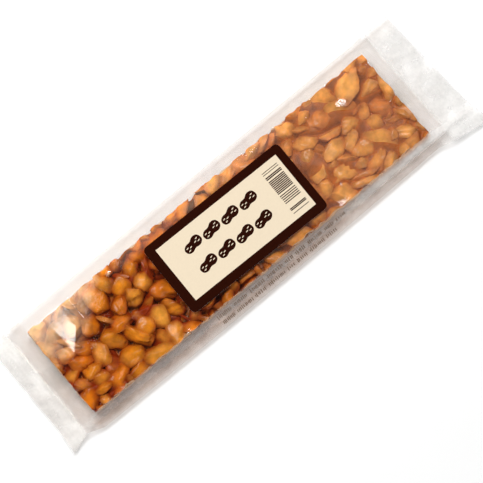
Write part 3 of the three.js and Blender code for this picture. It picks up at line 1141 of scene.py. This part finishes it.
def end_block(seal, drape, share, rng):
    """Tent and seal at one end of the bar, outwards from the bar."""
    bar_end = body_block(np.array([seal["side"] * BAR_END]), drape)
    root = seal_block(seal, np.zeros(1), share)
    out = np.linspace(0, 1, TENT_ROWS, endpoint=False)[1:, None, None]
    tent = mix(bar_end, root, out)
    out = out[:, :, 0]
    tent[:, :, 2] = mix(bar_end[:, :, 2], root[:, :, 2], np.sin(out * np.pi / 2))
    pleats = np.sin(PLEATS[0] * share + rng.uniform(0, 6))
    pleats = pleats + SECOND_PLEATS * np.sin(PLEATS[1] * share + rng.uniform(0, 6))
    tent[:, :, 2] += PLEAT_HEIGHT * (np.sin(np.pi * out) * pleats[None, :])
    tent[:, :, 3] = mix(bar_end[:, :, 3], root[:, :, 3], out ** TENT_CURVE)
    rows = round(ROWS_PER_RIB * seal["length"] / RIB_PITCH)
    return np.concatenate([tent, seal_block(seal, np.linspace(0, 1, rows), share)]), rows


def margin_share(x, y):
    """How far a place lies across the front margin: 0 at the bar and 1 at the film's edge."""
    return (-BAR_SIDE - y) / (film_edge(x, FRONT_MARGIN, FRONT_BOW) - BAR_SIDE)


def film_frost_and_painted_light(x, y):
    """How milky the film is at each place: milky of itself on its margins and seals, and painted reflection,
    painted light and painted highlights over the bar, beside its front side and at the glints.
    """
    share = margin_share(x, y)
    on_bar = (np.abs(x) < BAR_END) & (np.abs(y) < BAR_SIDE)
    # Painted reflection: milky over the right half and the back left corner.
    right = PAINTED_REFLECTION_RIGHT * beyond(20, 40, x)
    corner = painted_reflection_share(x, y) * mix(*PAINTED_REFLECTION_CORNER, beyond(4, 18, y))
    # Painted light: a milky strip that lightens the nuts along the back edge.
    strip = PAINTED_LIGHT_BACK_STRIP * beyond(16, 4, y) * beyond(-55, 15, x) * mix(1, 0.3, beyond(40, 12, x))
    over_bar = np.maximum.reduce([right, corner, strip]) * on_bar
    margin = FROST_MARGIN * beyond(BAR_SIDE, 0.4, np.abs(y))
    # Painted light: lightens the bar's shadow beside its front side and stands for the film's reflection.
    left_front, mid_front, right_front = PAINTED_LIGHT_FRONT
    lit_strip = mix(left_front, mix(mid_front, right_front, beyond(60, 30, x)), beyond(42, 13, x))
    front = lit_strip * beyond(0, 0.06, share) * (1 - beyond(0.36, 0.34, share))
    ends = mix(*FROST_ENDS, beyond(BAR_END + 6, 3, np.abs(x))) * beyond(BAR_END, 1, np.abs(x))
    # Painted highlights: a white milky patch on the lit side of each glint crease.
    glints = np.zeros_like(x)
    for middle, turn, length, width, _ in GLINTS:
        aside = GLINT_SIDE * width
        lit = (middle[0] - aside * math.sin(turn), middle[1] + aside * math.cos(turn))
        glints = glints + ridge(x, y, lit, turn, length, GLINT_WIDTH * width, PAINTED_GLINT)
    return FROST_LEAST + np.maximum.reduce([over_bar, margin, front, ends, glints])


def film_shade(x, y):
    """Painted shade on the film at each place: the bar's shadow over its front fold, a darker strip beside
    the label, darker ends and darker crease lines.
    """
    share = margin_share(x, y)
    fold = mix(0.5, 1, beyond(0.1, 0.3, share)) * beyond(0, 0.08, share)
    fold = fold * mix(1, 0.15, beyond(0.5, 0.5, share))
    crease = SHADE_CREASE * beyond(0.4, 0.18, share) * mix(1, 0.6, beyond(0.62, 0.3, share))
    crease = crease * mix(1, 0.75, beyond(70, 20, x))
    front = mix(fold, crease, beyond(36, 16, x)) * (1 - beyond(BAR_END, 6, np.abs(x)))
    line = np.exp(-((y - BACK_LINE) / BACK_LINE_WIDTH) ** 2) * mix(*SHADE_LINES, beyond(0, 60, x))
    back = (mix(*SHADE_BACK, beyond(0, 60, x)) + line) * beyond(BAR_SIDE, 0.5, y) * beyond(-80, 50, x)
    left = beyond(BAR_END - 0.5, 1, -x) * mix(*SHADE_LEFT, beyond(BAR_END + 2, 8, -x))
    right = SHADE_RIGHT * beyond(BAR_END, 1, x) * (1 - beyond(BAR_END + 6, 4, x))
    ends = (left + right) * mix(1, 0.5, beyond(-4, 14, y))
    beside_label = np.abs(x - LABEL_OFFSET[0]) < LABEL_LENGTH / 2 + 3
    strip = SHADE_STRIP * beyond(17.5, 1.5, -y) * (y > -BAR_SIDE) * beside_label
    return np.maximum.reduce([front, strip, back, ends])


def film_roughness(x, y):
    """How blunt the film's gloss is: the pressed seals and the back of the fold are duller than the bag."""
    sealed = beyond(BAR_END + 3, 5, np.abs(x))
    folded = smooth_step(*KITE_DULL, y) * (1 - beyond(KITE_RIGHT, 5, x))
    return mix(ROUGH_BAG, ROUGH_SEAL, np.maximum(sealed, folded))


def film_haze_and_painted_light(x, y):
    """The colour of the milky film, with painted light in it: a brown bounce light beside the bar's front
    side, and a paler peach light over its back left corner and along its back.
    """
    beside_bar = np.abs(x) < BAR_END
    # Painted bounce light: brown beside the bar's front side.
    painted_bounce = beyond(BAR_SIDE - 0.5, 0.5, -y) * (1 - beyond(BAR_SIDE + 0.3, 2.0, -y)) * beside_bar
    colour = mix(HAZE, HAZE_PAINTED_BOUNCE, painted_bounce[:, None])
    # Painted light: paler peach over the back left corner and along the back.
    painted_peach_light = np.maximum(painted_reflection_share(x, y), beyond(12, 3, y)) * (y < BAR_SIDE) * beside_bar
    return mix(colour, HAZE_PAINTED_PEACH_LIGHT, painted_peach_light[:, None])


def film_piece(highest, material, rng):
    """The bag as one closed skin, with the height field of its top and the rows between its seals."""
    drape = film_over_bar(highest, rng)
    body = body_block(np.linspace(-BAR_END, BAR_END, BODY_ROWS + 1), drape)
    ends = body[0, :, 1]
    share = (ends - ends[0]) / (ends[-1] - ends[0])
    left, left_seal = end_block(LEFT_SEAL, drape, share, rng)
    right, right_seal = end_block(RIGHT_SEAL, drape, share, rng)
    sheet = np.concatenate([left[::-1], body, right])
    upper, lower = (sheet[:, :, [0, 1, layer]].reshape(-1, 3) for layer in (2, 3))
    faces = np.vstack(slab_faces(*sheet.shape[:2]))
    piece = make_piece("film", np.vstack([upper, lower]), faces, [material])
    x, y = upper[:, 0], upper[:, 1]
    # Milkiness: the film's own, with painted reflection, painted light and painted highlights.
    add_value(piece, "frost_and_painted_light", np.tile(film_frost_and_painted_light(x, y), 2))
    # Painted shade.
    add_value(piece, "shade", np.tile(film_shade(x, y), 2))
    add_value(piece, "rough", np.concatenate([film_roughness(x, y), np.full(len(x), ROUGH_BASE)]))
    # Colour of the milky layer, with painted bounce light and painted peach light.
    add_colour(piece, "haze_and_painted_light", np.tile(film_haze_and_painted_light(x, y), (2, 1)))
    piece.data.set_sharp_from_angle(angle=SHARP_FILM)
    return piece, drape, sheet[left_seal:-right_seal]


def seam_piece(sheet, material):
    """The bag's long seam: a pressed strip that lies flat against its underside."""
    first = FRONT_LINES + round(BAR_COLUMNS / 2) - SEAM_COLUMNS
    strip = sheet[:, first:first + 2 * SEAM_COLUMNS + 1]
    rows, columns = strip.shape[:2]
    teeth = SEAM_TEETH * np.cos(FULL_TURN * np.arange(rows) / SEAM_ROWS_PER_RIB)[:, None]
    top = strip[:, :, 3] - FILM_GLUE
    layers = []
    for height in (top, top - SEAM_THICKNESS + teeth):
        layers.append(np.stack([strip[:, :, 0], strip[:, :, 1], height], -1).reshape(-1, 3))
    piece = make_piece("back_seam", np.vstack(layers), np.vstack(slab_faces(rows, columns)), [material])
    count = 2 * rows * columns
    add_value(piece, "frost_and_painted_light", np.full(count, SEAM_FROST))
    add_value(piece, "rough", np.full(count, ROUGH_SEAL))
    add_colour(piece, "haze_and_painted_light", np.tile(HAZE, (count, 1)))
    return piece


def film_print_piece(drape, material, rng):
    """Two rows of fine ticks in groups, on the front margin of the film."""
    points, faces = [], []
    for row, (start, end) in zip(PRINT_ROWS, PRINT_SPANS):
        left = start
        while left < end:
            word_end = left + rng.uniform(*WORD_LENGTHS)
            while left < word_end:
                x = left + TICK_WIDTH * np.array([0, 1, 1, 0])
                y = row + rng.uniform(*TICK_HEIGHTS) * np.array([-0.5, -0.5, 0.5, 0.5])
                shoulder = sample(drape, x, np.full(4, -BAR_SIDE))
                faces.append(4 * len(points) + np.arange(4))
                points.append(np.stack([x, y, slope_height(margin_share(x, y), shoulder) + INK_LIFT], -1))
                left += rng.uniform(*TICK_STEPS)
            left += rng.uniform(*WORD_GAPS)
    return make_piece("film_print", np.vstack(points), np.array(faces), [material])


# Label

PODS = 4
POD_ROWS = (6.0, -4.6)
POD_LENGTH = 9.4
POD_WIDTH = 5.4
POD_TURN = math.radians(14)
POD_PITCH = 10.2
POD_MIDDLE = -3.5
POD_POINTS = 36
POD_POWER = 0.7
WAIST_DEPTH = 0.3
WAIST_PLACE = -0.04
WAIST_WIDTH = 0.17
LOBE_GROWTH = 0.1
DIMPLE = (1.3, 0.42)
DIMPLE_POINTS = 12
DIMPLE_PLACES = ((-3.0, 0.75), (-3.0, -0.75), (-1.5, 0.0), (1.5, 0.0), (3.0, 0.75), (3.0, -0.75))
INK_STEP = 0.015

# A block of fine lines: first and last line, how many lines, and how thick they are.
FINE_SPAN = (23.6, 32.0)
FINE_BLOCKS = (
    (11.0, 10.0, 2, 0.3),
    (8.4, 7.6, 2, 0.55),
    (6.2, -0.2, 9, 0.5),
    (-1.6, -5.4, 5, 0.42),
    (-8.6, -9.3, 2, 0.5),
    (-11.0, -11.0, 1, 0.3),
)


def label_lines(half, low, high):
    """Grid lines across the label, with lines at the panel's edges and where the round corners start."""
    stops = [-half, -half + LABEL_CORNER, low, high, half - LABEL_CORNER, half]
    lines = []
    for a, b in zip(stops, stops[1:]):
        lines.append(np.linspace(a, b, max(2, round((b - a) / LABEL_SPACING) + 1)))
    return np.unique(np.round(np.concatenate(lines), 6))


def on_label(u, v, height):
    """Places on the label as points over the bar, that far above its underside."""
    x, y = turned(u, v, LABEL_TURN)
    x = x + LABEL_OFFSET[0]
    y = y + LABEL_OFFSET[1]
    return np.stack([x, y, label_height(x, y) + height], -1)


def label_piece(materials):
    """The paper, with round corners: border and panel on top, and plain paper on its other sides."""
    u = label_lines(LABEL_LENGTH / 2, PANEL["left"], PANEL["right"])
    v = label_lines(LABEL_WIDTH / 2, PANEL["front"], PANEL["back"])
    uu, vv = np.meshgrid(u, v, indexing="ij")
    du = np.clip(np.abs(uu) - (LABEL_LENGTH / 2 - LABEL_CORNER), 0, None)
    dv = np.clip(np.abs(vv) - (LABEL_WIDTH / 2 - LABEL_CORNER), 0, None)
    pull = np.maximum(du, dv) / np.maximum(np.hypot(du, dv), 1e-9)
    pull = np.where((du > 0) & (dv > 0), pull, 1)
    uu = uu - np.sign(uu) * du * (1 - pull)
    vv = vv - np.sign(vv) * dv * (1 - pull)
    layers = [on_label(uu, vv, height).reshape(-1, 3) for height in (LABEL_THICKNESS, 0)]
    top, bottom, rim = slab_faces(*uu.shape)
    middle_u = uu.ravel()[top].mean(1)
    middle_v = vv.ravel()[top].mean(1)
    in_panel = (middle_u > PANEL["left"]) & (middle_u < PANEL["right"])
    in_panel &= (middle_v > PANEL["front"]) & (middle_v < PANEL["back"])
    kinds = np.concatenate([in_panel.astype(int), np.full(len(bottom) + len(rim), 2)])
    piece = make_piece("paper_label", np.vstack(layers), np.vstack([top, bottom, rim]), materials)
    piece.data.polygons.foreach_set("material_index", kinds.astype(np.int32))
    piece.data.set_sharp_from_angle(angle=SHARP_PAPER)
    return piece


def pod_outline(length, width):
    """A peanut pod from the side: two round lobes of unlike size with a waist between them."""
    angle = np.linspace(0, FULL_TURN, POD_POINTS, endpoint=False)
    along = length / 2 * np.cos(angle)
    waist = 1 - WAIST_DEPTH * np.exp(-(((along - WAIST_PLACE * length) / (WAIST_WIDTH * length)) ** 2))
    fuller = 1 + LOBE_GROWTH * np.cos(angle)
    across = width / 2 * np.sign(np.sin(angle)) * np.abs(np.sin(angle)) ** POD_POWER * waist * fuller
    return along, across


def dimple_outline(length, width, middle):
    """A short lens-shaped mark on a pod."""
    angle = np.linspace(0, FULL_TURN, DIMPLE_POINTS, endpoint=False)
    return middle[0] + length / 2 * np.cos(angle), middle[1] + width / 2 * np.sin(angle)


def print_piece(materials):
    """The label's print: two rows of dimpled pods, and a block of fine lines at its right."""
    points, faces, inks = [], [], []

    def add_patch(u, v, layer, ink):
        start = sum(len(p) for p in points)
        height = LABEL_THICKNESS + layer * INK_STEP
        points.append(on_label(np.append(u, u.mean()), np.append(v, v.mean()), height))
        edge = np.arange(len(u))
        faces.append(start + np.stack([edge, np.roll(edge, -1), np.full(len(u), len(u))], -1))
        inks.extend([ink] * len(u))

    outlines = [pod_outline(POD_LENGTH, POD_WIDTH)]
    outlines += [dimple_outline(*DIMPLE, place) for place in DIMPLE_PLACES]
    for row in POD_ROWS:
        for i in range(PODS):
            middle = POD_MIDDLE + (i - (PODS - 1) / 2) * POD_PITCH
            for number, outline in enumerate(outlines):
                u, v = turned(*outline, POD_TURN)
                add_patch(u + middle, v + row, 1 + min(number, 1), min(number, 1))
    left, right = FINE_SPAN
    for back, front, lines, thick in FINE_BLOCKS:
        across = thick * np.array([-0.5, -0.5, 0.5, 0.5])
        for v in np.linspace(back, front, lines):
            add_patch(np.array([left, right, right, left]), v + across, 1, 0)
    piece = make_piece("label_print", np.vstack(points), np.vstack(faces), materials)
    piece.data.polygons.foreach_set("material_index", np.array(inks, np.int32))
    return piece


# Stage, light and camera

FLOOR_SIZE = 6
FLOOR_DARK = (0.94, 0.94, 0.94)
FLOOR_LIGHT = (0.96, 0.96, 0.96)
SKY_LOW = 0.9
SKY_HIGH = 0.03
SKY_SPAN = (0.1, 0.85)

# Softboxes that face the origin: place and size in metres, and radiance.
SOFTBOXES = {
    "key": ((0.12, 0.56, 1.3), (1.1, 0.5), 10.3),
    "fill": ((-0.1, -1.3, 0.75), (1.2, 0.5), 1.2),
}

# Panels that the film mirrors at one place: that place, its lean, and the panel's size, turn and light.
PANELS = {
    "veil_right": ((52, 0), 0, (110, 70), 0, 300, 0.42, (1, 0.88, 0.74)),
    "veil_left": ((-82, 26), 0, (46, 40), 40, 200, 1.5, (0.95, 0.93, 0.8)),
    "glare": ((-81, 11), -math.tan(KITE_SLOPE), (80, 140), 0, 600, 12.0, (0.95, 0.995, 0.96)),
}


def stage_floor():
    material, tree, shader = new_material("pale_floor")
    colour = add_ramp(tree, add_noise(tree, 0.02), FLOOR_DARK, FLOOR_LIGHT)
    feed(tree, shader, {"Base Color": colour, "Roughness": 0.9, "Specular IOR Level": 0.1})
    bpy.ops.mesh.primitive_plane_add(size=FLOOR_SIZE)
    floor = bpy.context.object
    floor.name = "floor"
    floor.data.materials.append(material)


def add_light(name, place, size, radiance):
    """A softbox that faces the origin, in metres."""
    light = bpy.data.lights.new(name, "AREA")
    light.shape = "RECTANGLE"
    light.size, light.size_y = size
    light.energy = radiance * math.pi * size[0] * size[1]
    lamp = bpy.data.objects.new(name, light)
    bpy.context.scene.collection.objects.link(lamp)
    lamp.location = place
    lamp.rotation_euler = (-Vector(place)).to_track_quat("-Z", "Y").to_euler()
    lamp.visible_camera = False
    return lamp


def view_direction():
    """The direction from the object to the camera."""
    flat = math.cos(ELEVATION)
    return Vector((math.sin(AZIMUTH) * flat, -math.cos(AZIMUTH) * flat, math.sin(ELEVATION)))


def camera_place():
    """Where the camera is, in millimetres from the bar's middle."""
    back = view_direction()
    right = Vector((math.cos(AZIMUTH), math.sin(AZIMUTH), 0))
    up = back.cross(right)
    middle = PICTURE_WIDTH / 2
    aim = Vector((0, 0, BAR_TOP))
    aim = aim + right * (middle - BAR_PIXEL[0]) * PIXEL - up * (middle - BAR_PIXEL[1]) * PIXEL
    return aim + back * CAMERA_DISTANCE


def add_panel(name, middle, lean, size, turn, height, radiance, colour):
    """A panel that faces down, hung where the film mirrors it to the camera."""
    spot = Vector((*middle, BAR_TOP))
    back = (camera_place() - spot).normalized()
    normal = Vector((lean, 0, 1)).normalized()
    towards = 2 * normal.dot(back) * normal - back
    place = spot + towards * (height / towards.z)
    lamp = add_light(name, BAR_MIDDLE + place * MM, [side * MM for side in size], radiance)
    lamp.rotation_euler = (0, 0, math.radians(turn))
    lamp.data.color = colour


def light_stage():
    world = bpy.data.worlds.new("studio")
    bpy.context.scene.world = world
    world.use_nodes = True
    tree = world.node_tree
    place = add_node(tree, "ShaderNodeTexCoord", "Generated", {})
    height = add_node(tree, "ShaderNodeSeparateXYZ", "Z", {"Vector": place})
    strength = add_range(tree, height, SKY_LOW, SKY_HIGH, *SKY_SPAN)
    feed(tree, tree.nodes["Background"], {"Strength": strength, "Color": (1, 1, 1, 1)})
    for name, softbox in SOFTBOXES.items():
        add_light(name, *softbox)
    for name, panel in PANELS.items():
        add_panel(name, *panel)


def set_camera():
    camera = bpy.data.cameras.new("camera")
    camera.sensor_width = SENSOR_WIDTH
    camera.lens = SENSOR_WIDTH * CAMERA_DISTANCE / (PICTURE_WIDTH * PIXEL)
    camera.clip_end = 100
    seat = bpy.data.objects.new("camera", camera)
    bpy.context.scene.collection.objects.link(seat)
    seat.location = BAR_MIDDLE + camera_place() * MM
    seat.rotation_mode = "QUATERNION"
    seat.rotation_quaternion = (-view_direction()).to_track_quat("-Z", "Y")
    bpy.context.scene.camera = seat


# Putting it together

# Papers and inks: colour, how much the fibres vary it, and roughness.
INK_DARK = (0.022, 0.0035, 0.0012)
PAPERS = {
    "film_ink": ((0.16, 0.1, 0.062), 0.2, 0.6),
    "border_ink": (INK_DARK, 0.25, 0.6),
    "cream_panel": ((0.8, 0.675, 0.505), 0.03, 0.6),
    "paper_back": ((0.85, 0.83, 0.78), 0.04, 0.7),
    "motif_ink": (INK_DARK, 0.25, 0.5),
}


def dress(piece, node):
    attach(piece, "root")
    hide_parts(node)


def main():
    rng = np.random.default_rng(SEED)
    nuts = pour_nuts(rng)
    fill_gaps(nuts, rng)
    highest, lowest, owner = nut_heights(nuts)
    level = caramel_level(highest, rng)
    # Crowns, and where nuts meet, for the caramel glaze and painted shade on the nuts.
    crowns = blur(widen(highest, CROWN_REACH), CROWN_REACH)
    seam_glaze_and_shade = nut_seam_glaze_and_shade(owner)
    nut_looks = [nut_material(), cut_nut_material()]
    for kind, group in nuts.items():
        dress(nut_piece(kind, group, crowns, seam_glaze_and_shade, nut_looks, rng), "wrapped_bar")
    dress(caramel_piece(level, highest, lowest, caramel_material()), "wrapped_bar")
    film, drape, bag = film_piece(highest, film_material("clear_film", FILM_GLOSS), rng)
    dress(film, "wrapped_bar")
    dress(seam_piece(bag, film_material("seam_film", SEAM_GLOSS)), "wrapped_bar")
    faded, border, cream, backing, motif = [paper_material(name, *look) for name, look in PAPERS.items()]
    dress(film_print_piece(drape, faded, rng), "wrapped_bar")
    dress(label_piece([border, cream, backing]), "label")
    dress(print_piece([motif, cream]), "label")
    stage_floor()
    light_stage()
    set_camera()
    bpy.context.scene.view_settings.view_transform = "Standard"


main()
